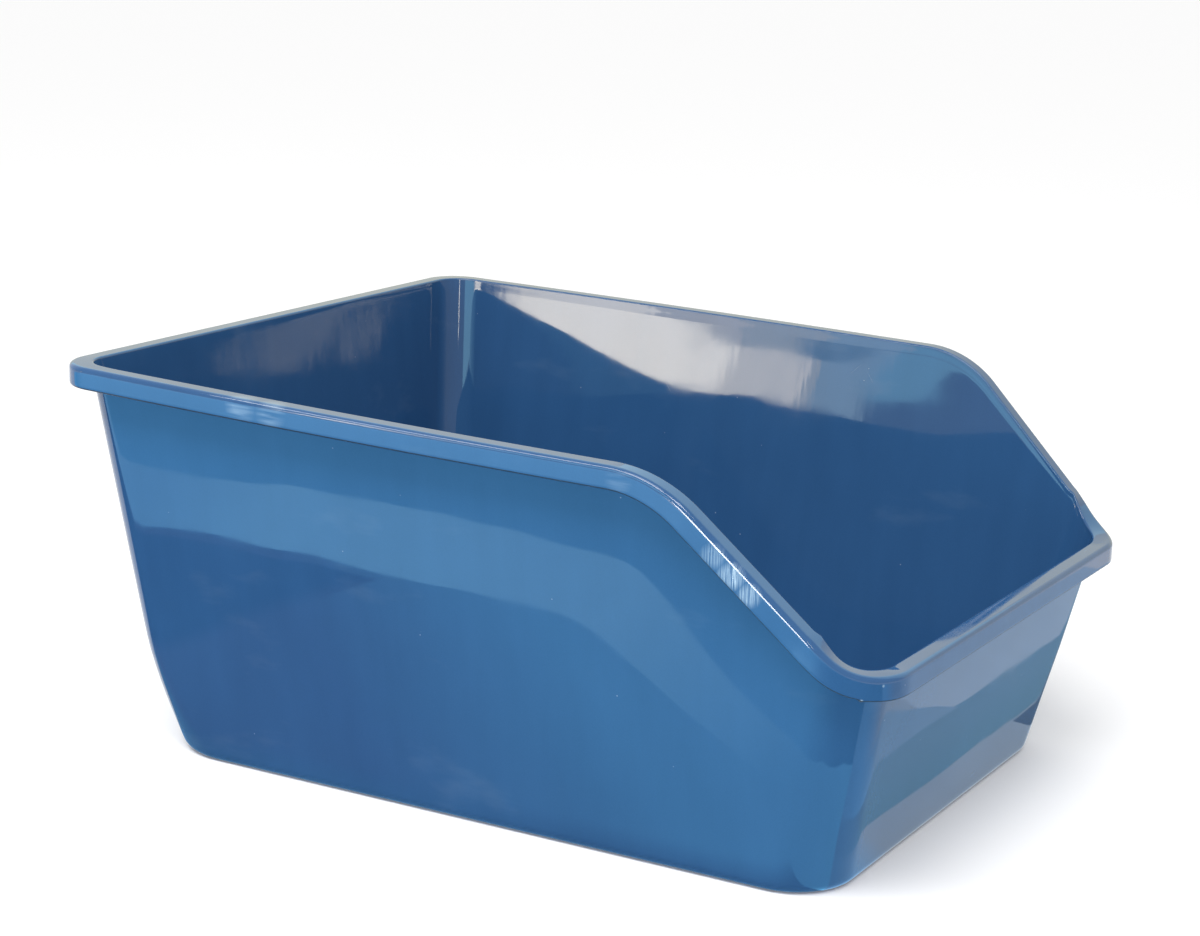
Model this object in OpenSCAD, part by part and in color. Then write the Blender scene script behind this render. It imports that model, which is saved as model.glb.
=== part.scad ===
// Open cat litter pan, moulded in one piece: a high back, high sides that slope
// down to a low entry at the front, and a turned-down rim all the way round.
// Origin: centre of the underside. +Z is up, the entry faces -Y, the width runs along X.
// Millimetres.

/* [Rim] */
// Length over the rim, front to back
rim_length = 546; // [520:1:570]
// Width of the rim's top, from the wall's inner face to the skirt's outer face
rim_width = 12.6; // [12:0.2:16]
// Radius of the rim's outer edge at the two back corners, seen from above
rim_back_radius = 26; // [22:1:40]
// Radius of the rim's outer edge at the two front corners, seen from above
rim_front_radius = 42; // [34:1:50]
// Depth of the skirt that hangs from the rim's outer edge
skirt_depth = 13.5; // [10:0.5:18]
// Thickness of the rim's top and of the skirt
skirt_wall = 2.2; // [1.8:0.1:2.6]
// Radius of the rim's outer top edge
outer_edge_radius = 3; // [2:0.5:3.5]
// Radius of the rim's inner top edge
inner_edge_radius = 2.5; // [1.5:0.5:3]

/* [Side profile] */
// Height of the rim at the back
back_height = 255; // [250:1:268]
// Height of the rim at the knee, where the slope to the entry starts
knee_height = 244.5; // [238:0.5:250]
// Distance from the origin to the knee's corner before it is rounded, towards the entry
knee_distance = 146; // [140:1:156]
// Angle of the slope down to the entry
slope_angle = 43; // [42:0.5:45]
// Radius of the rounding at the knee
knee_radius = 76; // [50:1:90]
// Height of the rim along the entry
entry_height = 141; // [136:0.5:144]
// Radius of the hollow curve at the foot of the slope
foot_radius = 44; // [42:1:60]

/* [Walls] */
// Half of the pan's width at the underside
base_half_width = 168.5; // [155:0.5:175]
// Distance from the origin to the back wall's foot
base_back = 238.5; // [225:0.5:245]
// Distance from the origin to the front wall's foot
base_front = 232; // [220:1:242]
// How far each side leans out for each millimetre of height
side_draft = 0.16; // [0.12:0.01:0.18]
// How far the middle of each long side bows out at the top
side_bow = 8; // [0:0.5:9]
// Radius of the inner back corners under the rim
inner_back_radius = 20; // [12:1:25]
// Radius of the inner front corners under the rim
inner_front_radius = 32; // [20:1:36]
// Radius of the outer back corners at the underside
base_back_radius = 49; // [30:1:60]
// Radius of the outer front corners at the underside
base_front_radius = 39; // [36:1:60]
// Height above which the corners keep their radius
blend_height = 75; // [60:5:110]
// Thickness of the walls
wall = 2.4; // [2:0.1:3]
// Thickness of the floor
floor_thickness = 2.6; // [2:0.1:3.5]
// Outer radius of the edge between the walls and the underside
bottom_edge_radius = 6; // [4:0.5:8]
// Inner radius of the edge between the walls and the floor
floor_edge_radius = 5; // [3:0.5:8]

/* [Hidden] */

// Steps round a corner of the pan, and round a rounded edge
corner_steps = 11;
edge_steps = 3;
// Steps up a wall
wall_steps = 6;
// Steps along half of the front and half of the back
end_steps = 2;
// Steps along a side: the straight slope, the knee and the rest up to the back
slope_steps = 4;
knee_steps = 9;
back_steps = 10;
// How quickly the corners open out towards the underside
blend_power = 1.5;

half_length = rim_length / 2;
// Distance from the walls' outer face to the rim's outer edge
overhang = rim_width - wall;
// Where the rim's straight sides start and end
side_front = -half_length + rim_front_radius;
side_back = half_length - rim_back_radius;

// The side profile, as places along Y and heights. Behind the knee the rim rises evenly
// to the back. In front of it the slope runs down into the foot's curve, which meets
// the entry's outer edge at the entry's height.
knee = [-knee_distance, knee_height];
back_angle = atan((back_height - knee_height) / (half_length + knee_distance));
back_direction = [cos(back_angle), sin(back_angle)];
slope_direction = [cos(slope_angle), sin(slope_angle)];
slope_normal = [-sin(slope_angle), cos(slope_angle)];
knee_tangent = knee_radius * tan((slope_angle - back_angle) / 2);
knee_low = knee[0] - knee_tangent * slope_direction[0];
knee_high = knee[0] + knee_tangent * back_direction[0];
knee_centre = knee + knee_tangent * back_direction + knee_radius * [back_direction[1], -back_direction[0]];
// The entry's outer edge, measured from the knee along the slope and square to it
entry_along = ([-half_length, entry_height] - knee) * slope_direction;
entry_above = ([-half_length, entry_height] - knee) * slope_normal;
foot_along = entry_along + sqrt(pow(foot_radius, 2) - pow(foot_radius - entry_above, 2));
foot_end = knee + foot_along * slope_direction;
foot_centre = foot_end + foot_radius * slope_normal;

// Height of the rim's outer edge at a place along Y
function rim_height(y) =
    y >= knee_high ? knee_height + (y - knee[0]) * tan(back_angle)
    : y > knee_low ? knee_centre[1] + sqrt(pow(knee_radius, 2) - pow(y - knee_centre[0], 2))
    : y > foot_end[0] ? knee_height + (y - knee[0]) * tan(slope_angle)
    : foot_centre[1] - sqrt(pow(foot_radius, 2) - pow(y - foot_centre[0], 2));

// The share of the corners' opening that is left at height z
function opening(z) = pow(max(0, 1 - z / blend_height), blend_power);
function mix(low, high, share) = low + (high - low) * share;
function equal_steps(low, high, steps) = [for (i = [0 : steps - 1]) mix(low, high, i / steps)];

// Stations go round half of the pan, from the middle of the entry to the middle of the
// back. Each is [side of the pan, stretch, value], and its value is a share of the
// straight end, an angle round the corner or the place of the rim's outer edge along Y.
END_FRONT = 0;
CORNER_FRONT = 1;
SIDE = 2;
CORNER_BACK = 3;
END_BACK = 4;
side_places = concat(
    equal_steps(side_front, knee_low, slope_steps),
    equal_steps(knee_low, knee_high, knee_steps),
    equal_steps(knee_high, side_back, back_steps)
);
half_stations = concat(
    [for (t = equal_steps(0, 1, end_steps)) [1, END_FRONT, t]],
    [for (a = equal_steps(0, 90, corner_steps)) [1, CORNER_FRONT, a]],
    [for (y = side_places) [1, SIDE, y]],
    [for (a = equal_steps(0, 90, corner_steps)) [1, CORNER_BACK, a]],
    [for (t = equal_steps(1, 0, end_steps)) [1, END_BACK, t]],
    [[1, END_BACK, 0]]
);
last_half = len(half_stations) - 1;
stations = concat(
    half_stations,
    [for (i = [last_half - 1 : -1 : 1]) [-1, half_stations[i][1], half_stations[i][2]]]
);
count = len(stations);

// A place along Y on a rounded outline, at a station, from the outline's two ends and
// its corner radii. A station on the side has its own share of the straight stretch.
function outline_y(s, share, low, high, low_radius, high_radius) =
    s[1] == END_FRONT ? low
    : s[1] == CORNER_FRONT ? low + low_radius * (1 - cos(s[2]))
    : s[1] == SIDE ? mix(low + low_radius, high - high_radius, share)
    : s[1] == CORNER_BACK ? high - high_radius * (1 - sin(s[2]))
    : high;
// The place across X that goes with it, from the outline's half width there
function outline_x(s, width, low_radius, high_radius) =
    s[1] == END_FRONT ? (width - low_radius) * s[2]
    : s[1] == CORNER_FRONT ? width - low_radius * (1 - sin(s[2]))
    : s[1] == SIDE ? width
    : s[1] == CORNER_BACK ? width - high_radius * (1 - cos(s[2]))
    : (width - high_radius) * s[2];

// Place along Y and height of the rim's outer edge at each station
edge_places = [for (s = stations)
    let (share = (s[2] - side_front) / (side_back - side_front))
    outline_y(s, share, -half_length, half_length, rim_front_radius, rim_back_radius)
];
heights = [for (y = edge_places) rim_height(y)];

function bow(y) = side_bow * (1 - pow(y / half_length, 2));
function half_width(y, z) = base_half_width + side_draft * z + bow(y) * z / back_height;
function front_y(z) = -base_front - (half_length - overhang - base_front) * z / entry_height;
function back_y(z) = base_back + (half_length - overhang - base_back) * z / back_height;
function front_radius(z) = mix(inner_front_radius + wall, base_front_radius, opening(z));
function back_radius(z) = mix(inner_back_radius + wall, base_back_radius, opening(z));

// A point of the wall at station j and height z, moved out from its outer face
function wall_point(j, z, out) =
    let (
        s = stations[j],
        top = heights[j],
        top_low = front_y(top) + front_radius(top),
        top_high = back_y(top) - back_radius(top),
        share = (s[2] - top_low) / (top_high - top_low),
        low_radius = front_radius(z) + out,
        high_radius = back_radius(z) + out,
        y = outline_y(s, share, front_y(z) - out, back_y(z) + out, low_radius, high_radius),
        x = outline_x(s, half_width(y, z) + out, low_radius, high_radius)
    )
    [s[0] * x, y, z];

// The rim's outer edge and inner edge, level with each other at each station
outer_edge = [for (j = [0 : count - 1])
    let (
        s = stations[j],
        width = half_width(edge_places[j], heights[j]) + overhang,
        x = outline_x(s, width, rim_front_radius, rim_back_radius)
    )
    [s[0] * x, edge_places[j], heights[j]]
];
inner_edge = [for (j = [0 : count - 1]) wall_point(j, heights[j], -wall)];

// At each station: the direction out across the rim, and down at right angles to it
outward = [for (j = [0 : count - 1])
    (outer_edge[j] - inner_edge[j]) / norm(outer_edge[j] - inner_edge[j])
];
downward = [for (j = [0 : count - 1])
    let (
        along = outer_edge[(j + 1) % count] - outer_edge[(j + count - 1) % count],
        tangent = along / norm(along)
    )
    ([0, 0, -1] + tangent[2] * tangent) / sqrt(1 - pow(tangent[2], 2))
];

// A point of the rim, moved in from its outer edge, or out from its inner edge, and down
function from_outer(j, in, down) = outer_edge[j] - in * outward[j] + down * downward[j];
function from_inner(j, out, down) = inner_edge[j] + out * outward[j] + down * downward[j];
// A height on the wall that lies a distance below the rim, at right angles to it
function below_rim(j, distance) = heights[j] + distance / downward[j][2];

// Rings of points, from the edge of the underside, up and over the rim, to the floor
underside_rings = [for (i = [0 : edge_steps - 1])
    let (a = 90 * i / edge_steps, r = bottom_edge_radius)
    [for (j = [0 : count - 1]) wall_point(j, r * (1 - cos(a)), -r * (1 - sin(a)))]
];
outer_wall_rings = [for (i = [0 : wall_steps])
    [for (j = [0 : count - 1])
        wall_point(j, mix(bottom_edge_radius, below_rim(j, skirt_wall), i / wall_steps), 0)]
];
skirt_rings = [
    [for (j = [0 : count - 1]) from_outer(j, skirt_wall, skirt_wall)],
    [for (j = [0 : count - 1]) from_outer(j, skirt_wall, skirt_depth)],
    [for (j = [0 : count - 1]) from_outer(j, 0, skirt_depth)]
];
outer_edge_rings = [for (i = [0 : edge_steps])
    let (a = 90 * i / edge_steps, r = outer_edge_radius)
    [for (j = [0 : count - 1]) from_outer(j, r * (1 - cos(a)), r * (1 - sin(a)))]
];
inner_edge_rings = [for (i = [0 : edge_steps - 1])
    let (a = 90 * i / edge_steps, r = inner_edge_radius)
    [for (j = [0 : count - 1]) from_inner(j, r * (1 - sin(a)), r * (1 - cos(a)))]
];
floor_edge_top = floor_thickness + floor_edge_radius;
inner_wall_rings = [for (i = [wall_steps : -1 : 0])
    [for (j = [0 : count - 1])
        wall_point(j, mix(floor_edge_top, below_rim(j, inner_edge_radius), i / wall_steps), -wall)]
];
floor_rings = [for (i = [1 : edge_steps])
    let (a = 90 * i / edge_steps, r = floor_edge_radius)
    [for (j = [0 : count - 1]) wall_point(j, floor_edge_top - r * sin(a), -wall - r * (1 - cos(a)))]
];
rings = concat(
    underside_rings, outer_wall_rings, skirt_rings, outer_edge_rings,
    inner_edge_rings, inner_wall_rings, floor_rings
);
ring_count = len(rings);
ring_points = [for (ring = rings) each ring];
underside_middle = len(ring_points);
floor_middle = underside_middle + 1;
pan_points = concat(ring_points, [[0, 0, 0], [0, 0, floor_thickness]]);

// Two triangles between each pair of neighbouring stations and rings, and a fan of
// triangles that closes the underside and the floor
ring_faces = [for (i = [0 : ring_count - 2], j = [0 : count - 1])
    let (
        next = (j + 1) % count,
        a = i * count + j,
        b = i * count + next,
        c = a + count,
        d = b + count
    )
    each [[a, c, d], [a, d, b]]
];
last_ring = (ring_count - 1) * count;
underside_faces = [for (j = [0 : count - 1]) [underside_middle, j, (j + 1) % count]];
floor_faces = [for (j = [0 : count - 1]) [floor_middle, last_ring + (j + 1) % count, last_ring + j]];

// The whole pan: floor, walls and turned-down rim are one moulding
module litter_pan() {
    color([0.16, 0.38, 0.62])
        polyhedron(points = pan_points, faces = concat(ring_faces, underside_faces, floor_faces));
}

litter_pan();
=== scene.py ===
import math

import bmesh
import bpy
from mathutils import Matrix, Vector, noise


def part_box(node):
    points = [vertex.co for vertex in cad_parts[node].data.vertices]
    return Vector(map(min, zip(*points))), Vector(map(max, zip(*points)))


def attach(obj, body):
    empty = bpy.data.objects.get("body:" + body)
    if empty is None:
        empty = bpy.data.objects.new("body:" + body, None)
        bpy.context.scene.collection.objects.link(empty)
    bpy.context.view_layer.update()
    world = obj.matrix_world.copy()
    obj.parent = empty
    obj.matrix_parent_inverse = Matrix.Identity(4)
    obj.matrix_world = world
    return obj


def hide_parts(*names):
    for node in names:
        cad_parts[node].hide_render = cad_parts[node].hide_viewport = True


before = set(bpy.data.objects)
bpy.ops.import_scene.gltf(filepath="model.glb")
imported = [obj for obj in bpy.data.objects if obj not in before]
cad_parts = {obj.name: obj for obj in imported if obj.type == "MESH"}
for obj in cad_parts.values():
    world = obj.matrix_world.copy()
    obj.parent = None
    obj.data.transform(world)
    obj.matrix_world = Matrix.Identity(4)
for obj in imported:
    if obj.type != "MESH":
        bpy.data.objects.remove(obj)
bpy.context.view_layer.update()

# ---------------------------------------------------------------- the pan's shape
# The CAD part's shape in millimetres, with finer steps, rippled walls and its own roundings
RIM_LENGTH = 546.0
RIM_WIDTH = 12.6
RIM_BACK_RADIUS = 26.0
RIM_FRONT_RADIUS = 42.0
SKIRT_DEPTH = 13.5
SKIRT_WALL = 2.2
OUTER_EDGE_RADIUS = 3.0
BACK_HEIGHT = 255.0
KNEE_HEIGHT = 244.5
KNEE_DISTANCE = 146.0
SLOPE_ANGLE = math.radians(43.0)
KNEE_RADIUS = 76.0
ENTRY_HEIGHT = 141.0
FOOT_RADIUS = 44.0
BASE_HALF_WIDTH = 168.5
BASE_BACK = 238.5
BASE_FRONT = 232.0
SIDE_DRAFT = 0.16
SIDE_BOW = 8.0
INNER_BACK_RADIUS = 20.0
INNER_FRONT_RADIUS = 32.0
BASE_BACK_RADIUS = 49.0
BASE_FRONT_RADIUS = 39.0
BLEND_HEIGHT = 75.0
BLEND_POWER = 1.5
WALL = 2.4
FLOOR_THICKNESS = 2.6
BOTTOM_EDGE_RADIUS = 6.0
FLOOR_EDGE_RADIUS = 5.0

# Roundings that differ from the CAD part's: its inner edge is 2.5 and its skirt is square
INNER_EDGE_RADIUS = 1.4
SKIRT_EDGE_RADIUS = 1.7
SKIRT_EDGE_INSIDE = 0.5
INSIDE_FILLET = 1.4
# The rim's inner edge is a little high at the corners by the entry
CORNER_LIFT = 1.3

# The flat of the base: how far it is in from its rounded edge, and the rings' sizes
FLAT_INSET = 1.5
FLAT_SHARES = (0.25, 0.5, 0.72, 0.88, 0.96, 1.0)

# How far up the wall its rings are, and how many steps each rounding has
WALL_SHARES = [0.012, 0.04] + [i / 24 for i in range(2, 24)] + [0.975, 0.99]
LARGE_ARC = 8
FLOOR_ARC = 7
SKIRT_ARC = 6
SMALL_ARC = 4

# The moulded walls' ripples: their size around and upwards, and how far out they reach
WIDE_AROUND, WIDE_UP, WIDE_REACH = 95.0, 70.0, 0.30
FINE_AROUND, FINE_UP, FINE_REACH = 34.0, 26.0, 0.05
FINE_START = 40.0
CALM_AT_BASE = 40.0
CALM_AT_RIM = 22.0

# A burr and a nick in the skirt's lower edge: place on the corner, drops and inward lean
BURR_DEGREES = 46
BURR_DROPS = (-0.55, 0.70, 0.15)
BURR_LEAN = 0.5

# The last station along a side stops this far short of the wall's corner
CORNER_GAP = 1.0
# A ring on the rim's underside keeps the fillet beside it tight
SUPPORT_GAP = 1.0
# Stations nearer than this, in metres, become one point
MERGE_DISTANCE = 1e-6

low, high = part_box("litter_pan")
# A hair under full size, as finer steps reach a little farther than the CAD part's
SIZE_SHARE = 0.99998
UNIT = SIZE_SHARE * (high[1] - low[1]) / RIM_LENGTH

HALF_LENGTH = RIM_LENGTH / 2
OVERHANG = RIM_WIDTH - WALL
SIDE_FRONT = -HALF_LENGTH + RIM_FRONT_RADIUS
SIDE_BACK = HALF_LENGTH - RIM_BACK_RADIUS


def mix(a, b, share):
    return a + (b - a) * share


# The side profile: a rising back stretch, the knee's arc, the slope and the foot's arc
BACK_ANGLE = math.atan((BACK_HEIGHT - KNEE_HEIGHT) / (HALF_LENGTH + KNEE_DISTANCE))
knee = Vector((-KNEE_DISTANCE, KNEE_HEIGHT))
back_direction = Vector((math.cos(BACK_ANGLE), math.sin(BACK_ANGLE)))
slope_direction = Vector((math.cos(SLOPE_ANGLE), math.sin(SLOPE_ANGLE)))
slope_normal = Vector((-slope_direction.y, slope_direction.x))
knee_tangent = KNEE_RADIUS * math.tan((SLOPE_ANGLE - BACK_ANGLE) / 2)
knee_low = knee.x - knee_tangent * slope_direction.x
knee_high = knee.x + knee_tangent * back_direction.x
knee_centre = (
    knee
    + knee_tangent * back_direction
    + KNEE_RADIUS * Vector((back_direction.y, -back_direction.x))
)
entry = Vector((-HALF_LENGTH, ENTRY_HEIGHT)) - knee
entry_above = entry.dot(slope_normal)
foot_along = entry.dot(slope_direction) + math.sqrt(
    FOOT_RADIUS**2 - (FOOT_RADIUS - entry_above) ** 2
)
foot_end = knee + foot_along * slope_direction
foot_centre = foot_end + FOOT_RADIUS * slope_normal


def rim_height(y):
    """Height of the rim's outer edge at a place along Y."""
    if y >= knee_high:
        return KNEE_HEIGHT + (y - knee.x) * math.tan(BACK_ANGLE)
    if y > knee_low:
        return knee_centre.y + math.sqrt(KNEE_RADIUS**2 - (y - knee_centre.x) ** 2)
    if y > foot_end.x:
        return KNEE_HEIGHT + (y - knee.x) * math.tan(SLOPE_ANGLE)
    return foot_centre.y - math.sqrt(FOOT_RADIUS**2 - (y - foot_centre.x) ** 2)


END_FRONT, CORNER_FRONT, SIDE, CORNER_BACK, END_BACK = range(5)
CORNER_STEPS = 26
END_STEPS = 26
SLOPE_STEPS = 10
KNEE_STEPS = 26
BACK_STEPS = 56


def steps(a, b, count):
    return [mix(a, b, i / count) for i in range(count)]


def half_stations():
    """Half of the rim from the front's middle to the back's: side, stretch and place on it."""
    # the walls' corners start a little before the rim's
    last_side_place = back_y(BACK_HEIGHT) - back_radius(BACK_HEIGHT) - CORNER_GAP
    places = steps(SIDE_FRONT, knee_low, SLOPE_STEPS)
    places += steps(knee_low, knee_high, KNEE_STEPS)
    places += [y for y in steps(knee_high, SIDE_BACK, BACK_STEPS) if y < last_side_place]
    quarter = math.pi / 2
    return (
        [(1, END_FRONT, t) for t in steps(0, 1, END_STEPS)]
        + [(1, CORNER_FRONT, a) for a in steps(0, quarter, CORNER_STEPS)]
        + [(1, SIDE, y) for y in places]
        + [(1, CORNER_BACK, a) for a in steps(0, quarter, CORNER_STEPS)]
        + [(1, END_BACK, t) for t in steps(1, 0, END_STEPS)]
        + [(1, END_BACK, 0.0)]
    )


def outline_y(kind, value, share, y0, y1, r0, r1):
    if kind == END_FRONT:
        return y0
    if kind == CORNER_FRONT:
        return y0 + r0 * (1 - math.cos(value))
    if kind == SIDE:
        return mix(y0 + r0, y1 - r1, share)
    if kind == CORNER_BACK:
        return y1 - r1 * (1 - math.sin(value))
    return y1


def outline_x(kind, value, width, r0, r1):
    if kind == END_FRONT:
        return (width - r0) * value
    if kind == CORNER_FRONT:
        return width - r0 * (1 - math.sin(value))
    if kind == SIDE:
        return width
    if kind == CORNER_BACK:
        return width - r1 * (1 - math.cos(value))
    return (width - r1) * value


def half_width(y, z):
    """Half the width between the walls' outer faces, which lean out and bow."""
    bow = SIDE_BOW * (1 - (y / HALF_LENGTH) ** 2)
    return BASE_HALF_WIDTH + SIDE_DRAFT * z + bow * z / BACK_HEIGHT


def opening(z):
    """How far the corners have opened out towards the base's larger radii."""
    return max(0.0, 1 - z / BLEND_HEIGHT) ** BLEND_POWER


def front_y(z):
    return -BASE_FRONT - (HALF_LENGTH - OVERHANG - BASE_FRONT) * z / ENTRY_HEIGHT


def back_y(z):
    return BASE_BACK + (HALF_LENGTH - OVERHANG - BASE_BACK) * z / BACK_HEIGHT


def front_radius(z):
    return mix(INNER_FRONT_RADIUS + WALL, BASE_FRONT_RADIUS, opening(z))


def back_radius(z):
    return mix(INNER_BACK_RADIUS + WALL, BASE_BACK_RADIUS, opening(z))


half = half_stations()
stations = half + [(-1, kind, value) for _, kind, value in half[-2:0:-1]]
COUNT = len(stations)

edge_places = []
for _, kind, value in stations:
    share = (value - SIDE_FRONT) / (SIDE_BACK - SIDE_FRONT) if kind == SIDE else 0.0
    edge_places.append(
        outline_y(kind, value, share, -HALF_LENGTH, HALF_LENGTH, RIM_FRONT_RADIUS, RIM_BACK_RADIUS)
    )
heights = [rim_height(y) for y in edge_places]


def wall_point(j, z, out):
    """A point of the wall at station j and height z, moved out from its outer face."""
    side, kind, value = stations[j]
    top = heights[j]
    share = 0.0
    if kind == SIDE:
        top_low = front_y(top) + front_radius(top)
        top_high = back_y(top) - back_radius(top)
        share = max(0.0, (value - top_low) / (top_high - top_low))
    r0 = front_radius(z) + out
    r1 = back_radius(z) + out
    y = outline_y(kind, value, share, front_y(z) - out, back_y(z) + out, r0, r1)
    x = outline_x(kind, value, half_width(y, z) + out, r0, r1)
    return Vector((side * x, y, z))


outer_edge = []
for j, (side, kind, value) in enumerate(stations):
    width = half_width(edge_places[j], heights[j]) + OVERHANG
    x = outline_x(kind, value, width, RIM_FRONT_RADIUS, RIM_BACK_RADIUS)
    outer_edge.append(Vector((side * x, edge_places[j], heights[j])))
inner_edge = []
for j, (_, kind, value) in enumerate(stations):
    lift = CORNER_LIFT * math.sin(2 * value) if kind == CORNER_FRONT else 0.0
    inner_edge.append(wall_point(j, heights[j], -WALL) + Vector((0, 0, lift)))
outward = [(outer_edge[j] - inner_edge[j]).normalized() for j in range(COUNT)]
downward = []
for j in range(COUNT):
    tangent = (outer_edge[(j + 1) % COUNT] - outer_edge[j - 1]).normalized()
    downward.append((Vector((0, 0, -1)) + tangent.z * tangent).normalized())


def from_outer(j, inwards, down):
    return outer_edge[j] - inwards * outward[j] + down * downward[j]


def from_inner(j, outwards, down):
    return inner_edge[j] + outwards * outward[j] + down * downward[j]


def below_rim(j, distance):
    return heights[j] + distance / downward[j].z


# Distance along the rim to each station, for the ripples of the walls
along = [0.0]
for j in range(1, COUNT):
    along.append(along[-1] + (outer_edge[j] - outer_edge[j - 1]).length)
around = along[-1] + (outer_edge[0] - outer_edge[-1]).length


def ripple(j, z):
    """How far the moulded wall strays outwards from its true face."""
    turn = 2 * math.pi * along[j] / around
    reach = around / (2 * math.pi)
    round_x = reach * math.cos(turn)
    round_y = reach * math.sin(turn)
    fade = min(1.0, z / CALM_AT_BASE, max(0.0, (heights[j] - z) / CALM_AT_RIM))
    wide_place = (round_x / WIDE_AROUND, round_y / WIDE_AROUND, z / WIDE_UP)
    fine_place = (round_x / FINE_AROUND, round_y / FINE_AROUND, z / FINE_UP + FINE_START)
    wide = noise.noise(Vector(wide_place))
    fine = noise.noise(Vector(fine_place))
    return fade * (WIDE_REACH * wide + FINE_REACH * fine)


def rippled(j, z, out):
    return wall_point(j, z, out + ripple(j, z))


def arc(count):
    """Angles of a quarter turn."""
    return [math.pi / 2 * i / count for i in range(count + 1)]


near_corner = [j for j, (side, kind, _) in enumerate(stations) if side < 0 and kind == CORNER_FRONT]


def corner_station(degrees):
    return min(near_corner, key=lambda j: abs(stations[j][2] - math.radians(degrees)))


first_burr = corner_station(BURR_DEGREES) - 1
burrs = {first_burr + i: drop for i, drop in enumerate(BURR_DROPS)}


def skirt_edge(j, inwards, down):
    """A point of the skirt's lower edge, with the burr the more the lower it is."""
    burr = burrs.get(j, 0.0)
    low_share = max(0.0, 1 - (SKIRT_DEPTH - down) / SKIRT_EDGE_RADIUS)
    lean = max(0.0, BURR_LEAN * burr * low_share)
    return from_outer(j, inwards - lean, down + burr * low_share)


def toward_middle(point, share):
    return Vector((point.x * share, point.y * share, point.z))


def pan_rings():
    """Rings of points, from the underside, up and over the rim, to the floor."""
    rings = []

    def ring(place):
        rings.append([place(j) for j in range(COUNT)])

    r = BOTTOM_EDGE_RADIUS
    for share in FLAT_SHARES:
        ring(lambda j: toward_middle(wall_point(j, 0.0, -r - FLAT_INSET), share))
    for a in arc(LARGE_ARC):
        ring(lambda j: wall_point(j, r * (1 - math.cos(a)), -r * (1 - math.sin(a))))
    # outer wall
    top = SKIRT_WALL + INSIDE_FILLET
    for s in WALL_SHARES:
        ring(lambda j: rippled(j, mix(r, below_rim(j, top), s), 0.0))
    # fillet into the rim's underside, the underside and the skirt's inner face
    f = INSIDE_FILLET
    for a in arc(SMALL_ARC):
        ring(
            lambda j: wall_point(j, below_rim(j, top - f * math.sin(a)), 0.0)
            + outward[j] * f * (1 - math.cos(a))
        )
    ring(lambda j: from_outer(j, SKIRT_WALL + f + SUPPORT_GAP, SKIRT_WALL))
    for a in arc(SMALL_ARC):
        ring(
            lambda j: from_outer(
                j, SKIRT_WALL + f * (1 - math.sin(a)), SKIRT_WALL + f * (1 - math.cos(a))
            )
        )
    i = SKIRT_EDGE_INSIDE
    for down in (0.3, 0.7):
        ring(lambda j: from_outer(j, SKIRT_WALL, mix(top, SKIRT_DEPTH - i, down)))
    for a in arc(SMALL_ARC):
        ring(
            lambda j: skirt_edge(
                j, SKIRT_WALL - i * (1 - math.cos(a)), SKIRT_DEPTH - i * (1 - math.sin(a))
            )
        )
    # the skirt's lower edge and its outer face
    e = SKIRT_EDGE_RADIUS
    for a in arc(SKIRT_ARC):
        ring(lambda j: skirt_edge(j, e * (1 - math.sin(a)), SKIRT_DEPTH - e * (1 - math.cos(a))))
    o = OUTER_EDGE_RADIUS
    for down in (0.08, 0.35, 0.65, 0.92):
        ring(lambda j: from_outer(j, 0.0, mix(SKIRT_DEPTH - e, o, down)))
    # over the rim
    for a in arc(LARGE_ARC):
        ring(lambda j: from_outer(j, o * (1 - math.cos(a)), o * (1 - math.sin(a))))
    n = INNER_EDGE_RADIUS
    land = RIM_WIDTH - o - n
    for s in (0.06, 0.35, 0.65, 0.94):
        ring(lambda j: from_outer(j, o + land * s, 0.0))
    for a in arc(LARGE_ARC):
        ring(lambda j: from_inner(j, n * (1 - math.sin(a)), n * (1 - math.cos(a))))
    # inner wall, from the rim to the floor
    floor_top = FLOOR_THICKNESS + FLOOR_EDGE_RADIUS
    for s in WALL_SHARES[::-1]:
        ring(lambda j: rippled(j, mix(floor_top, below_rim(j, n), s), -WALL))
    q = FLOOR_EDGE_RADIUS
    for a in arc(FLOOR_ARC):
        ring(lambda j: wall_point(j, floor_top - q * math.sin(a), -WALL - q * (1 - math.cos(a))))
    for share in FLAT_SHARES[::-1]:
        ring(
            lambda j: toward_middle(
                wall_point(j, FLOOR_THICKNESS, -WALL - q - FLAT_INSET), share
            )
        )
    return rings


def build_pan():
    rings = pan_rings()
    mesh = bpy.data.meshes.new("pan_moulding")
    bm = bmesh.new()
    verts = [[bm.verts.new(p * UNIT) for p in ring] for ring in rings]
    for lower, upper in zip(verts, verts[1:]):
        for j in range(COUNT):
            k = (j + 1) % COUNT
            bm.faces.new((lower[j], lower[k], upper[k], upper[j]))
    for ring, z, flip in ((verts[0], 0.0, True), (verts[-1], FLOOR_THICKNESS, False)):
        middle = bm.verts.new((0, 0, z * UNIT))
        for j in range(COUNT):
            k = (j + 1) % COUNT
            bm.faces.new((ring[k], ring[j], middle) if flip else (ring[j], ring[k], middle))
    # where the walls' corners start after the rim's, stations meet in one point
    bmesh.ops.remove_doubles(bm, verts=bm.verts, dist=MERGE_DISTANCE)
    bm.normal_update()
    bm.to_mesh(mesh)
    bm.free()
    for face in mesh.polygons:
        face.use_smooth = True
    pan = bpy.data.objects.new("pan_moulding", mesh)
    bpy.context.scene.collection.objects.link(pan)
    return pan


pan = build_pan()

# ---------------------------------------------------------------- materials


def new_material(name):
    material = bpy.data.materials.new(name)
    material.use_nodes = True
    tree = material.node_tree
    return material, tree, tree.nodes["Principled BSDF"]


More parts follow.
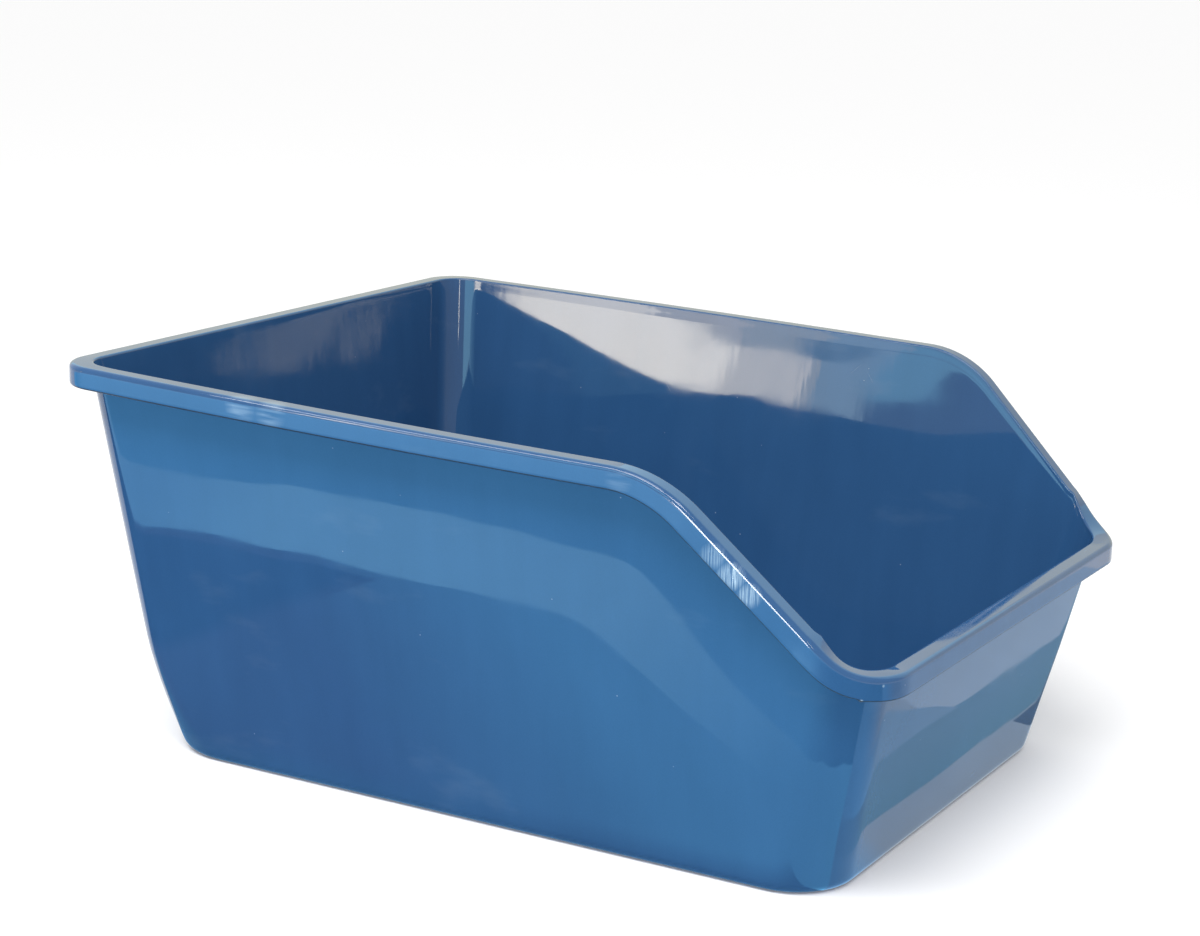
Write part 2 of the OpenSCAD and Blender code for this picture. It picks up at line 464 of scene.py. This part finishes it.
def vector_math(tree, operation, source, other):
    node = tree.nodes.new("ShaderNodeVectorMath")
    node.operation = operation
    tree.links.new(source, node.inputs[0])
    if isinstance(other, (tuple, Vector)):
        node.inputs[1].default_value = other
    else:
        tree.links.new(other, node.inputs[1])
    return node.outputs["Value" if operation in ("DISTANCE", "DOT_PRODUCT") else "Vector"]


def scaled(tree, source, scale, turn=(0.0, 0.0, 0.0)):
    """Object coordinates turned and then stretched, so the scale is cells per metre."""
    turned = tree.nodes.new("ShaderNodeMapping")
    turned.inputs["Rotation"].default_value = turn
    tree.links.new(source, turned.inputs["Vector"])
    return vector_math(tree, "MULTIPLY", turned.outputs["Vector"], scale)


def even(scale):
    return (scale, scale, scale)


def noise_value(tree, vector, detail=2.0, roughness=0.5):
    node = tree.nodes.new("ShaderNodeTexNoise")
    node.inputs["Scale"].default_value = 1.0
    node.inputs["Detail"].default_value = detail
    node.inputs["Roughness"].default_value = roughness
    tree.links.new(vector, node.inputs["Vector"])
    return node.outputs["Fac"]


def nearest(tree, vector):
    """Distance to the nearest of a scatter of points, and a random value for that point."""
    node = tree.nodes.new("ShaderNodeTexVoronoi")
    node.inputs["Scale"].default_value = 1.0
    tree.links.new(vector, node.inputs["Vector"])
    return node.outputs["Distance"], node.outputs["Color"]


def in_range(tree, value, from_low, from_high, to_low=0.0, to_high=1.0):
    node = tree.nodes.new("ShaderNodeMapRange")
    for name, number in zip(
        ("From Min", "From Max", "To Min", "To Max"), (from_low, from_high, to_low, to_high)
    ):
        node.inputs[name].default_value = number
    tree.links.new(value, node.inputs["Value"])
    return node.outputs["Result"]


def combine(tree, operation, a, b):
    node = tree.nodes.new("ShaderNodeMath")
    node.operation = operation
    for socket, value in zip(node.inputs, (a, b)):
        if isinstance(value, float):
            socket.default_value = value
        else:
            tree.links.new(value, socket)
    return node.outputs["Value"]


def add_shares(tree, total, terms):
    """A total with each value added to it, times its weight."""
    for value, weight in terms:
        total = combine(tree, "ADD", total, combine(tree, "MULTIPLY", value, weight))
    return total


def blend(tree, share, a, b):
    node = tree.nodes.new("ShaderNodeMix")
    node.data_type = "RGBA"
    tree.links.new(share, node.inputs["Factor"])
    for name, value in (("A", a), ("B", b)):
        socket = [i for i in node.inputs if i.name == name and i.type == "RGBA"][0]
        if isinstance(value, tuple):
            socket.default_value = value
        else:
            tree.links.new(value, socket)
    return [o for o in node.outputs if o.type == "RGBA"][0]


def axis_z(tree, vector):
    node = tree.nodes.new("ShaderNodeSeparateXYZ")
    tree.links.new(vector, node.inputs[0])
    return node.outputs["Z"]


def scratches(tree, place, turn, across, along, kept):
    """Fine straight scratches: flat cells turned one way, of which a share is kept."""
    vector = scaled(tree, place, (SCRATCH_DEPTH_SCALE, along, across), turn)
    distance, random_value = nearest(tree, vector)
    line = in_range(tree, distance, *SCRATCH_WIDTH)
    chosen = in_range(tree, random_value, 1.0 - kept, 1.0 - SCRATCH_FULL_FROM * kept)
    return combine(tree, "MULTIPLY", line, chosen)


def skirt_place(y, down):
    """A place on the near skirt's outer face."""
    z = rim_height(y)
    return (-half_width(y, z) - OVERHANG, y, z - down)


def corner_place(degrees, down):
    return tuple(from_outer(corner_station(degrees), 0.0, down))


def slope_place(share, down):
    """A place on the near skirt, a share of the way from the knee to the entry."""
    return skirt_place(mix(-KNEE_DISTANCE, -HALF_LENGTH, share), down)


# Rubbed marks on the near skirt: place, reach, strength, and the streaks' cells per metre
UPRIGHT = (30.0, 2300.0, 60.0)
LEVEL = (30.0, 26.0, 420.0)
PLAIN = (30.0, 300.0, 300.0)
RUBBED_PLACES = (
    (slope_place(0.27, 9.5), 8.0, 0.40, UPRIGHT),
    (slope_place(0.35, 10.0), 8.5, 0.85, UPRIGHT),
    (slope_place(0.43, 10.0), 7.5, 0.70, UPRIGHT),
    (skirt_place(0.46 * HALF_LENGTH, 4.0), 12.0, 0.26, LEVEL),
    (skirt_place(0.38 * HALF_LENGTH, 4.5), 12.0, 0.26, LEVEL),
    (skirt_place(-0.46 * HALF_LENGTH, 6.0), 9.0, 0.14, LEVEL),
    (corner_place(BURR_DEGREES, SKIRT_DEPTH), 1.5, 1.0, PLAIN),
    (corner_place(31, 4.2), 1.0, 1.0, PLAIN),
)
RUB_CORE = 0.45
RUB_HATCH = (0.36, 0.66)

# The plastic's two tones, the noise that chooses between them and each noise's weight
DARK_TONE = (0.0200, 0.0710, 0.176, 1)
LIGHT_TONE = (0.0250, 0.0860, 0.208, 1)
TONE_RANGE = (0.36, 0.64)
TONE_SCALE, TONE_WEIGHT = even(7.0), 0.5
FLOW_SCALE, FLOW_WEIGHT = (55.0, 55.0, 5.0), 0.3
GRAIN_SCALE, GRAIN_WEIGHT = even(1100.0), 0.2

# Scratches: turn, cells per metre across and along, and the share that is kept
SCRATCH_DEPTH_SCALE = 28.0
SCRATCH_WIDTH = (0.10, 0.04)
SCRATCH_FULL_FROM = 0.8
LEVEL_SCRATCHES = ((0.12, 0.0, 0.0), 210.0, 7.0, 0.10)
RISING_SCRATCHES = ((0.75, 0.2, 0.1), 240.0, 11.0, 0.10)
FALLING_SCRATCHES = ((-0.9, 0.1, 0.3), 240.0, 16.0, 0.10)

SPECK_SCALE, SPECK_WIDTH = even(50.0), (0.026, 0.010)
SMEAR_SCALE, SMEAR_RANGE = (16.0, 9.0, 26.0), (0.60, 0.78)

# Painted shade along the skirt's lower edge, a near-black colour for the shade in the gap under the
# rim: on faces that turn down, but not flat, above the base
PAINTED_SHADE_TURN = (-0.29, -0.38)
PAINTED_SHADE_NOT_FLAT = (-0.995, -0.96)
PAINTED_SHADE_HEIGHT = (0.085, 0.110)

# Each mark: how strongly its colour shows, the colour, and the roughness it adds
SMEAR = (0.10, (0.20, 0.30, 0.40, 1), 0.08)
SCRATCH = (0.22, (0.32, 0.46, 0.58, 1), 0.25)
SPECK = (0.40, (0.50, 0.58, 0.64, 1), 0.4)
RUB = (1.0, (0.42, 0.56, 0.66, 1), 0.25)
# the last mark is painted shade, not dirt: a near-black colour where the skirt's edge is in shade
PAINTED_SHADE = (0.92, (0.006, 0.010, 0.020, 1), 0.5)

# Gloss of the clean plastic, by how much it was handled
HANDLED_SCALE, HANDLED_RANGE = even(22.0), (0.38, 0.72)
CLEAN_ROUGHNESS = (0.022, 0.075)

# Relief, in cells per metre and metres
DRAG_SCALE, DRAG_INSIDE, DRAG_OUTSIDE = (105.0, 105.0, 13.0), 1.5e-5, 1.0e-6
PEEL_SCALE, PEEL_HEIGHT = even(210.0), 1.2e-6
SCRATCH_HEIGHT = -1.2e-5


def pan_plastic():
    """Glossy moulded polypropylene: faint flow marks, dust specks, rub marks and scratches, and
    painted shade along the skirt's lower edge.
    """
    material, tree, shader = new_material("pan_plastic")
    place = tree.nodes.new("ShaderNodeTexCoord").outputs["Object"]

    # colour: slow changes of tone, flow marks down the walls, fine pigment grain
    tone = noise_value(tree, scaled(tree, place, TONE_SCALE), 3.0)
    flow = noise_value(tree, scaled(tree, place, FLOW_SCALE), 3.0)
    grain = noise_value(tree, scaled(tree, place, GRAIN_SCALE), 1.0)
    mixed = combine(tree, "MULTIPLY", tone, TONE_WEIGHT)
    mixed = add_shares(tree, mixed, ((flow, FLOW_WEIGHT), (grain, GRAIN_WEIGHT)))
    color = blend(tree, in_range(tree, mixed, *TONE_RANGE), DARK_TONE, LIGHT_TONE)

    # marks that lie on the surface
    speck_distance, _ = nearest(tree, scaled(tree, place, SPECK_SCALE))
    specks = in_range(tree, speck_distance, *SPECK_WIDTH)
    level = scratches(tree, place, *LEVEL_SCRATCHES)
    rising = scratches(tree, place, *RISING_SCRATCHES)
    falling = scratches(tree, place, *FALLING_SCRATCHES)
    lines = combine(tree, "MAXIMUM", level, combine(tree, "MAXIMUM", rising, falling))
    smear_noise = noise_value(tree, scaled(tree, place, SMEAR_SCALE), 4.0, 0.6)
    smears = in_range(tree, smear_noise, *SMEAR_RANGE)

    # painted shade along the skirt's lower edge, where the rim's overhang keeps the light off
    normal = tree.nodes.new("ShaderNodeNewGeometry").outputs["Normal"]
    normal_z = axis_z(tree, normal)
    turned_down = in_range(tree, normal_z, *PAINTED_SHADE_TURN)
    not_flat = in_range(tree, normal_z, *PAINTED_SHADE_NOT_FLAT)
    above_base = in_range(tree, axis_z(tree, place), *PAINTED_SHADE_HEIGHT)
    painted_shade = combine(tree, "MULTIPLY", combine(tree, "MULTIPLY", turned_down, not_flat), above_base)

    # rubbed marks, each a hatched spot
    rubbed = None
    for spot, reach, strength, streaks in RUBBED_PLACES:
        offset = vector_math(tree, "DISTANCE", place, tuple(v * UNIT for v in spot))
        near = in_range(tree, offset, reach * UNIT, RUB_CORE * reach * UNIT)
        hatch = noise_value(tree, scaled(tree, place, streaks), 3.0)
        near = combine(tree, "MULTIPLY", near, in_range(tree, hatch, *RUB_HATCH, 0.0, strength))
        rubbed = near if rubbed is None else combine(tree, "MAXIMUM", rubbed, near)

    # each mark's colour is blended in; the last is the painted shade under the skirt's edge
    marks = ((smears, SMEAR), (lines, SCRATCH), (specks, SPECK), (rubbed, RUB), (painted_shade, PAINTED_SHADE))
    for mask, (strength, mark_color, _) in marks:
        color = blend(tree, combine(tree, "MULTIPLY", mask, strength), color, mark_color)
    tree.links.new(color, shader.inputs["Base Color"])

    # gloss: clean plastic, handled patches and rubbed lines
    handled = noise_value(tree, scaled(tree, place, HANDLED_SCALE), 4.0, 0.62)
    rough = in_range(tree, handled, *HANDLED_RANGE, *CLEAN_ROUGHNESS)
    rough = add_shares(tree, rough, [(mask, added) for mask, (_, _, added) in marks])
    tree.links.new(rough, shader.inputs["Roughness"])
    shader.inputs["IOR"].default_value = 1.5

    # relief: drag marks of the mould's core inside, a faint peel everywhere
    level_place = vector_math(tree, "MULTIPLY", place, (1.0, 1.0, 0.0))
    facing = vector_math(tree, "DOT_PRODUCT", normal, level_place)
    inside = in_range(tree, facing, 0.0, -0.10)
    drag = noise_value(tree, scaled(tree, place, DRAG_SCALE), 2.0)
    peel = noise_value(tree, scaled(tree, place, PEEL_SCALE), 1.0)
    relief = combine(tree, "MULTIPLY", drag, combine(tree, "MULTIPLY", inside, DRAG_INSIDE))
    relief = add_shares(
        tree, relief, ((drag, DRAG_OUTSIDE), (peel, PEEL_HEIGHT), (lines, SCRATCH_HEIGHT))
    )
    bump = tree.nodes.new("ShaderNodeBump")
    bump.inputs["Strength"].default_value = 1.0
    bump.inputs["Distance"].default_value = 1.0
    tree.links.new(relief, bump.inputs["Height"])
    tree.links.new(bump.outputs["Normal"], shader.inputs["Normal"])
    return material


pan.data.materials.append(pan_plastic())
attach(pan, "root")
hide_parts("litter_pan")

# ---------------------------------------------------------------- floor, light, camera
FLOOR_COLOR = (0.86, 0.86, 0.86, 1)
FLOOR_GLOW = 0.12
FLOOR_REACH = 30.0
FLOOR_DROP = 0.0002


def rectangle(x0, x1, y0, y1):
    return [(x0, y0), (x1, y0), (x1, y1), (x0, y1)]


material, _, shader = new_material("floor_paper")
shader.inputs["Base Color"].default_value = FLOOR_COLOR
shader.inputs["Roughness"].default_value = 0.9
shader.inputs["Specular IOR Level"].default_value = 0.0
shader.inputs["Emission Color"].default_value = (1, 1, 1, 1)
shader.inputs["Emission Strength"].default_value = FLOOR_GLOW
material.cycles.emission_sampling = "NONE"
mesh = bpy.data.meshes.new("floor")
floor_limits = rectangle(-FLOOR_REACH, FLOOR_REACH, -FLOOR_REACH, FLOOR_REACH)
mesh.from_pydata([(x, y, 0) for x, y in floor_limits], [], [(0, 1, 2, 3)])
floor = bpy.data.objects.new("floor", mesh)
floor.location = (0, 0, -FLOOR_DROP)
floor.data.materials.append(material)
bpy.context.scene.collection.objects.link(floor)

# The cards' glow is a little uneven: cells per metre, and a share of a dimmer glow
CLOUD_SCALE, CLOUD_RANGE = even(16.0), (0.3, 0.7)
CLOUD_SHARE, CLOUD_DIM = 0.10, 0.5


def only_in_gloss(card):
    card.active_material.cycles.emission_sampling = "NONE"
    card.visible_camera = False
    card.visible_diffuse = False
    card.visible_shadow = False


def glow_mesh(name, corners):
    mesh = bpy.data.meshes.new(name)
    mesh.from_pydata(corners, [], [tuple(range(len(corners)))])
    material, tree, shader = new_material(name)
    shader.inputs["Base Color"].default_value = (0, 0, 0, 1)
    shader.inputs["Specular IOR Level"].default_value = 0.0
    shader.inputs["Emission Strength"].default_value = 1.0
    mesh.materials.append(material)
    card = bpy.data.objects.new(name, mesh)
    bpy.context.scene.collection.objects.link(card)
    return card, tree, shader


def floor_card(name, outline, height, glow, fades=()):
    """A card that lies on the floor and shows only in the plastic's gloss.

    Its height, in metres, puts it over or under the cards that it overlaps. Each fade
    is a place, a direction, a length and the colour that the glow turns to.
    """
    card, tree, shader = glow_mesh(name, [(x, y, height) for x, y in outline])
    place = tree.nodes.new("ShaderNodeTexCoord").outputs["Object"]
    cloudy = noise_value(tree, scaled(tree, place, CLOUD_SCALE), 2.0)
    share = in_range(tree, cloudy, *CLOUD_RANGE, 0.0, CLOUD_SHARE)
    color = blend(tree, share, (*glow, 1), (*[CLOUD_DIM * g for g in glow], 1))
    for start, direction, length, far_color in fades:
        offset = vector_math(tree, "SUBTRACT", place, (*start, 0))
        travel = vector_math(tree, "DOT_PRODUCT", offset, Vector((*direction, 0)).normalized())
        share = in_range(tree, travel, 0.0, length)
        color = blend(tree, share, color, (*far_color, 1))
    tree.links.new(color, shader.inputs["Emission Color"])
    only_in_gloss(card)


def upright_card(name, x, y0, y1, z0, z1, glow):
    """A card that stands lengthwise to the pan, as a window or a wall would."""
    card, _, shader = glow_mesh(name, [(x, y, z) for y, z in rectangle(y0, y1, z0, z1)])
    shader.inputs["Emission Color"].default_value = (*glow, 1)
    only_in_gloss(card)


# How far a low light would cast the near rim, per unit of its height
LEAN_OUT = 0.90
LEAN_BACK = 0.68


def rim_cast(y, lean_at_entry):
    """Where on the floor a low light from beyond the pan would cast the near rim."""
    z = rim_height(y)
    rise = min(1.0, (z - ENTRY_HEIGHT) / (rim_height(-KNEE_DISTANCE) - ENTRY_HEIGHT))
    edge = half_width(y, z) + OVERHANG
    lean = mix(lean_at_entry, LEAN_OUT, rise)
    return ((-edge - lean * z) * UNIT, (y + LEAN_BACK * z) * UNIT)


# Glows of the cards on the floor. On the near long side, a bright strip follows the shape of
# the rim, and outside and inside it is dimmer.
FAR_GLOW = (0.34, 1.34, 2.40)
FAR_GLOW_AT_ENTRY = (0.10, 0.45, 0.90)
FAR_GLOW_OUT = (1.25, 3.0, 4.7)
STRIP_GLOW = (1.05, 2.47, 3.65)
STRIP_GLOW_AT_BACK = (0.70, 1.75, 2.80)
NEAR_GLOW = (0.44, 1.45, 2.46)
DIM_GLOW = (0.18, 0.20, 0.44)
CORNER_GLOW = (0.02, 0.05, 0.20)
CONTACT_GLOW = (0.15, 0.35, 0.60)
FRONT_GLOW = (0.68, 0.80, 0.90)
FRONT_GLOW_AT_SIDE = (0.44, 0.95, 1.60)
FRONT_CORNER_GLOW = (0.44, 1.05, 1.85)
FRONT_BRIGHT_GLOW = (0.82, 0.99, 1.17)
SHADE_GLOW = (0.36, 0.58, 0.72)
SHADE_GLOW_CLOSE = (0.31, 0.54, 0.66)
SHADE_GLOW_AT_SIDE = (0.42, 0.85, 1.35)
WEDGE_GLOW = (0.48, 0.70, 0.92)
FRONT_DARK_GLOW = (0.20, 0.26, 0.32)

# Limits of those cards, in metres: along X, along Y, and points behind the pan
FAR_OUT = -3.0
FRONT_LEFT = -0.150
FRONT_MIDDLE = 0.10
FRONT_RIGHT = 0.60
FRONT_OUT = -0.80
SHADE_OUT = -0.283
UNDER_FRONT = -0.20
FAR_END = 1.60
NEAR_END = 0.80
BEHIND_LEFT = -0.33
UNDER_BACK = 0.32
CORNER_OUT = -0.372
STRIP_SHIFT = (0.070, 0.005)
LEAN_OF_EDGE = 0.68
LEAN_OF_INNER = 0.90
STRIP_STEPS = 40

rim_places = steps(-HALF_LENGTH, HALF_LENGTH + 1, STRIP_STEPS)
strip_edge = [(-0.140, -0.334), (-0.185, -0.322), (-0.247, -0.276), (-0.283, -0.215)]
strip_edge += [rim_cast(y, LEAN_OF_EDGE) for y in rim_places]
strip_edge += [(strip_edge[-1][0], NEAR_END)]
strip_inner = [(-0.140, -0.225), (-0.190, -0.215), (-0.220, -0.195)]
for x, y in [rim_cast(y, LEAN_OF_INNER) for y in rim_places]:
    strip_inner.append((x + STRIP_SHIFT[0], y + STRIP_SHIFT[1]))
strip_inner += [(strip_inner[-1][0], NEAR_END)]
far_outline = [
    (FAR_OUT, FRONT_OUT), (FRONT_LEFT, FRONT_OUT), (FRONT_LEFT, UNDER_BACK),
    (BEHIND_LEFT, NEAR_END), (BEHIND_LEFT, FAR_END), (FAR_OUT, FAR_END),
]
near_outline = strip_inner + [
    (BEHIND_LEFT, NEAR_END), (FRONT_LEFT, UNDER_BACK), (-0.08, UNDER_FRONT)
]
corner_outline = [
    (CORNER_OUT, 0.200), (-0.18, 0.368), (BEHIND_LEFT, NEAR_END), (CORNER_OUT, NEAR_END)
]
wedge_outline = [
    (0.03, -0.330), (0.135, SHADE_OUT), (FRONT_LEFT, SHADE_OUT), (FRONT_LEFT, -0.330)
]
dark_outline = [(0.165, -0.253), (0.40, -0.253), (0.40, -0.225), (0.190, -0.225)]

floor_card(
    "side_far", far_outline, 0.0004, FAR_GLOW,
    [
        ((-0.30, -0.20), (0.3, -1.0), 0.14, FAR_GLOW_AT_ENTRY),
        ((-0.62, 0.0), (-1.0, 0.0), 0.65, FAR_GLOW_OUT),
    ],
)
floor_card(
    "side_near", near_outline, 0.0006, NEAR_GLOW,
    [
        ((-0.345, 0.03), (0.75, 0.66), 0.15, DIM_GLOW),
        ((-0.192, 0.0), (1.0, 0.0), 0.02, CONTACT_GLOW),
    ],
)
floor_card(
    "side_corner", corner_outline, 0.0007, DIM_GLOW,
    [((-0.30, 0.262), (-0.67, 0.74), 0.02, CORNER_GLOW)],
)
floor_card(
    "side_strip", strip_edge + strip_inner[::-1], 0.0008, STRIP_GLOW,
    [
        ((-0.37, 0.02), (0.45, -0.90), 0.20, NEAR_GLOW),
        ((-0.40, 0.31), (0.55, 0.83), 0.12, STRIP_GLOW_AT_BACK),
    ],
)
floor_card(
    "front_floor", rectangle(FRONT_LEFT, FRONT_RIGHT, FRONT_OUT, UNDER_FRONT), 0.0009, FRONT_GLOW,
    [((-0.075, 0.0), (-1.0, 0.0), 0.07, FRONT_GLOW_AT_SIDE)],
)
corner_fade = ((0.0, 0.0), (-1.0, 0.0), 0.11, FRONT_CORNER_GLOW)
floor_card(
    "front_corner", rectangle(FRONT_LEFT, FRONT_MIDDLE, FRONT_OUT, -0.295), 0.00095, FRONT_GLOW,
    [corner_fade],
)
floor_card(
    "front_bright", rectangle(FRONT_MIDDLE, FRONT_RIGHT, FRONT_OUT, SHADE_OUT), 0.0010,
    FRONT_BRIGHT_GLOW,
)
floor_card(
    "front_shade", rectangle(FRONT_LEFT, FRONT_RIGHT, -0.2845, -0.254), 0.0011, SHADE_GLOW,
    [
        ((0.0, -0.275), (0, 1), 0.02, SHADE_GLOW_CLOSE),
        ((-0.080, 0.0), (-1.0, 0.0), 0.05, SHADE_GLOW_AT_SIDE),
    ],
)
floor_card("front_wedge", wedge_outline, 0.0012, WEDGE_GLOW, [corner_fade])
floor_card("front_dark", dark_outline, 0.0013, FRONT_DARK_GLOW)

# Beside the camera, a window with a bright pane, and a small one towards the entry
WINDOW_X = -1.5
WINDOW_FOOT, SILL_TOP, WINDOW_TOP = 0.44, 0.545, 1.05
WARM = (1.0, 0.91, 0.74)
WHITE = (1.0, 1.0, 1.0)


def pane(name, y0, y1, z0, z1, glow, tint=WARM, forward=0.0):
    upright_card(name, WINDOW_X + forward, y0, y1, z0, z1, [glow * t for t in tint])


pane("room", -0.45, 0.70, 0.47, WINDOW_TOP, 1.6, (1.0, 1.9, 2.3))
pane("curtain", 0.70, 0.78, WINDOW_FOOT, WINDOW_TOP, 2.7, (1.0, 1.3, 1.4))
pane("pane_soft", 0.78, 0.86, WINDOW_FOOT, WINDOW_TOP, 4.4, (1.0, 1.0, 0.85))
pane("pane_middle", 0.86, 0.94, WINDOW_FOOT, WINDOW_TOP, 6.0)
pane("pane_bright", 0.94, 1.07, WINDOW_FOOT, WINDOW_TOP, 11.0)
pane("sill_bright", 0.865, 1.07, WINDOW_FOOT, SILL_TOP, 14.5, forward=0.002)
pane("sill_soft", 0.79, 0.865, WINDOW_FOOT, SILL_TOP, 8.6, forward=0.002)
pane("transom", 0.40, 0.80, SILL_TOP, 0.570, 1.3, (1.0, 1.4, 1.5), forward=0.004)
pane("entry_window", -1.42, -1.31, 0.66, 0.95, 18.0)
pane("left_window", 1.93, 2.07, 0.30, 0.95, 9.0)
# low beside the camera, the bright line on the slope's edge
pane("slope_glint", -0.60, -0.22, 0.03, 0.42, 27.0, WHITE, forward=0.006)
pane("slope_glint_end", -0.24, 0.02, 0.0, 0.20, 5.0, WHITE, forward=0.006)
# the pale far side of the room, which the rim's top mirrors: X, and Y from and to
FAR_SIDE = (2.5, -3.0, 5.0)
upright_card("far_side", *FAR_SIDE, 0.0, 1.3, (1.03, 1.0, 0.74))
upright_card("far_side_top", *FAR_SIDE, 1.3, 4.0, (1.08, 1.42, 1.42))


def toward(azimuth, elevation):
    """A direction from degrees: azimuth 0 is the side of the entry, -90 the near long side."""
    a, e = math.radians(azimuth), math.radians(elevation)
    return Vector((math.sin(a) * math.cos(e), -math.cos(a) * math.cos(e), math.sin(e)))


def area_light(name, place, aim, size, power):
    data = bpy.data.lights.new(name, "AREA")
    data.shape = "RECTANGLE"
    data.size, data.size_y = size
    data.energy = power
    light = bpy.data.objects.new(name, data)
    light.location = place
    light.rotation_euler = (Vector(aim) - Vector(place)).to_track_quat("-Z", "Y").to_euler()
    bpy.context.scene.collection.objects.link(light)


def sun_light(name, azimuth, elevation, strength, spread):
    """A soft far light; the spread is in degrees."""
    data = bpy.data.lights.new(name, "SUN")
    data.energy = strength
    data.angle = math.radians(spread)
    light = bpy.data.objects.new(name, data)
    light.rotation_euler = toward(azimuth, elevation).to_track_quat("Z", "Y").to_euler()
    bpy.context.scene.collection.objects.link(light)


sun_light("overhead", azimuth=-80, elevation=70, strength=0.9, spread=30)
# softboxes over the near side draw the thin light along the rim's edge
area_light(
    "long_softbox", place=(-1.0, 0.30, 1.5), aim=(-0.15, 0.2, 0.2), size=(1.9, 0.38), power=20
)
area_light(
    "end_softbox", place=(-1.0, -0.98, 1.5), aim=(-0.15, -0.2, 0.2), size=(0.6, 0.38), power=9
)

# The room is brightest low down behind the pan, as a lit backdrop is
BACKDROP = (0.86, 0.50, -0.15)
ROOM_RAMP = ((0.0, (0.6, 0.6, 0.6, 1)), (0.8, (1.15, 1.15, 1.15, 1)))
world = bpy.data.worlds.new("studio")
bpy.context.scene.world = world
world.use_nodes = True
tree = world.node_tree
background = tree.nodes["Background"]
place = tree.nodes.new("ShaderNodeTexCoord")
facing = vector_math(tree, "DOT_PRODUCT", place.outputs["Generated"], BACKDROP)
ramp = tree.nodes.new("ShaderNodeValToRGB")
for element, (position, color) in zip(ramp.color_ramp.elements, ROOM_RAMP):
    element.position = position
    element.color = color
tree.links.new(facing, ramp.inputs["Fac"])
tree.links.new(ramp.outputs["Color"], background.inputs["Color"])
background.inputs["Strength"].default_value = 1.0

# The camera turns about the pan's middle: azimuth, elevation and roll in degrees
AZIMUTH, ELEVATION, ROLL = -60.425, 13.241, 1.452
DISTANCE = 1.67327
AIM = Vector((0, 0, 0.1))
AIM_RIGHT, AIM_UP = -0.00895, 0.08227
FOCAL, SENSOR_WIDTH = 78.185, 36.0
roll = math.radians(ROLL)
back = toward(AZIMUTH, ELEVATION)
right = (-back).cross(Vector((0, 0, 1))).normalized()
up = right.cross(-back)
cam_right = math.cos(roll) * right + math.sin(roll) * up
cam_up = -math.sin(roll) * right + math.cos(roll) * up
camera_data = bpy.data.cameras.new("camera")
camera_data.lens = FOCAL
camera_data.sensor_width = SENSOR_WIDTH
camera_data.sensor_fit = "HORIZONTAL"
camera = bpy.data.objects.new("camera", camera_data)
axes = Matrix((cam_right, cam_up, back)).transposed().to_4x4()
place = AIM + AIM_RIGHT * cam_right + AIM_UP * cam_up + DISTANCE * back
camera.matrix_world = Matrix.Translation(place) @ axes
bpy.context.scene.collection.objects.link(camera)
bpy.context.scene.camera = camera
bpy.context.scene.view_settings.view_transform = "Standard"
